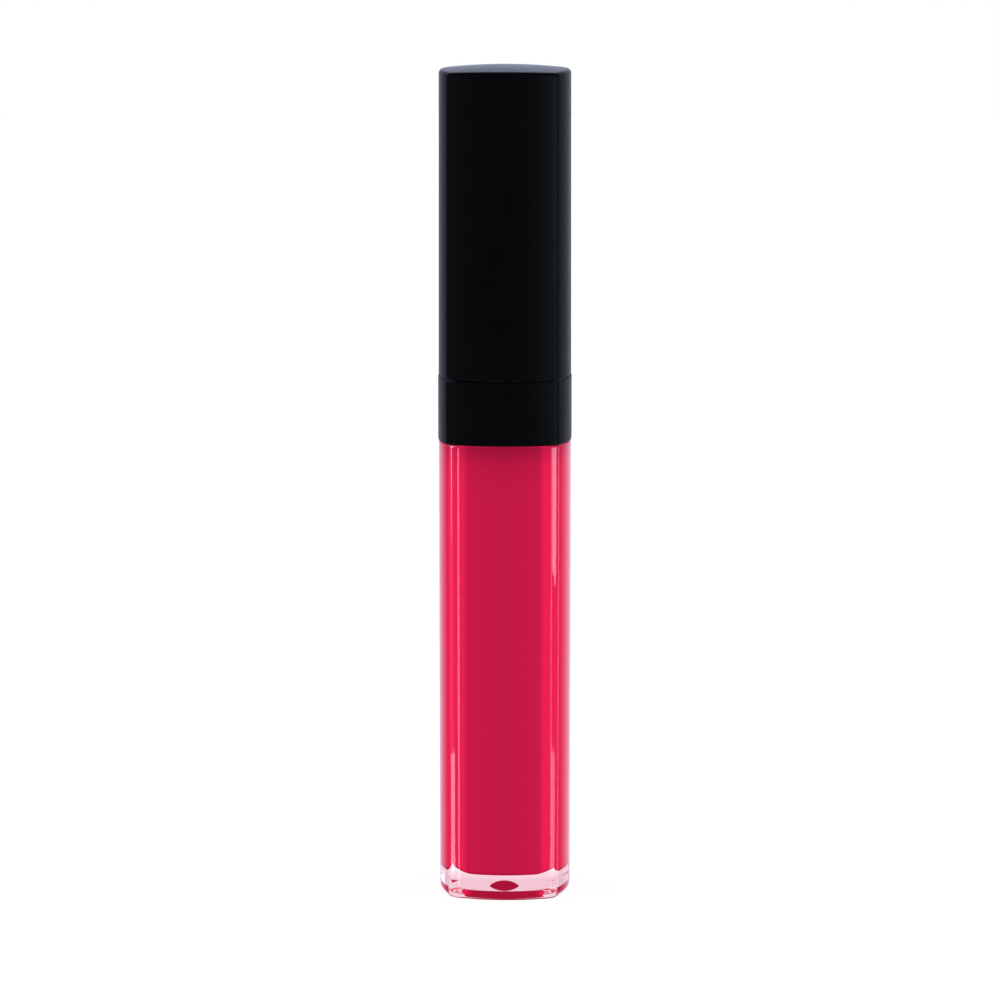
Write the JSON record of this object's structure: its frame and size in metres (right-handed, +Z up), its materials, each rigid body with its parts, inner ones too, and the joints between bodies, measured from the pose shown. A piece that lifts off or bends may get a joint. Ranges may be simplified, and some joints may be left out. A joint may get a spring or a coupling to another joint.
{
  "type": "lip gloss tube",
  "caption": "Square lip gloss tube: clear heavy-based bottle of crimson gloss, black collar, and a black screw cap that carries a doe-foot wand.",
  "frame": {"origin": "middle of the flat base, on the surface that the tube stands on", "axes": "+Z up along the tube and its thread; X and Y square to the four faces"},
  "size_m": [0.017, 0.017, 0.1061],
  "materials": {
    "clear_bottle": "clear, polished, heavy wall",
    "lip_gloss": "wet crimson gloss",
    "wiper_plastic": "natural soft plastic",
    "black_collar": "black satin",
    "black_cap": "black satin",
    "inner_cap_plastic": "black, as moulded",
    "weight_metal": "plain turned steel",
    "liner_foam": "white soft foam",
    "stem_plastic": "black, polished",
    "core_plastic": "natural moulded plastic",
    "flock": "short nylon flock, soaked with gloss"
  },
  "bodies": {
    "bottle": {"bottle": "clear_bottle", "gloss_fill": "lip_gloss", "wiper": "wiper_plastic", "collar": "black_collar"},
    "liner": {"seal_liner": "liner_foam"},
    "weight": {"cap_weight": "weight_metal"},
    "cap": {"outer_cap": "black_cap", "inner_cap": "inner_cap_plastic", "wand_stem": "stem_plastic", "applicator_core": "core_plastic", "applicator_flock": "flock"}
  },
  "joints": [
    {"name": "cap_lift", "type": "slide", "parent": "bottle", "child": "liner", "axis": [0, 0, 1], "range_m": [0, 0.09]},
    {"name": "thread_rise", "type": "slide", "parent": "liner", "child": "weight", "axis": [0, 0, 1], "range_m": [0, 0.0051]},
    {"name": "cap_turn", "type": "hinge", "parent": "weight", "child": "cap", "pos_m": [0, 0, 0.07], "axis": [0, 0, 1], "range_deg": [0, 720]}
  ],
  "couplings": [
    {"joint": "thread_rise", "follows": "cap_turn", "m_per_rad": 0.00039789}
  ]
}
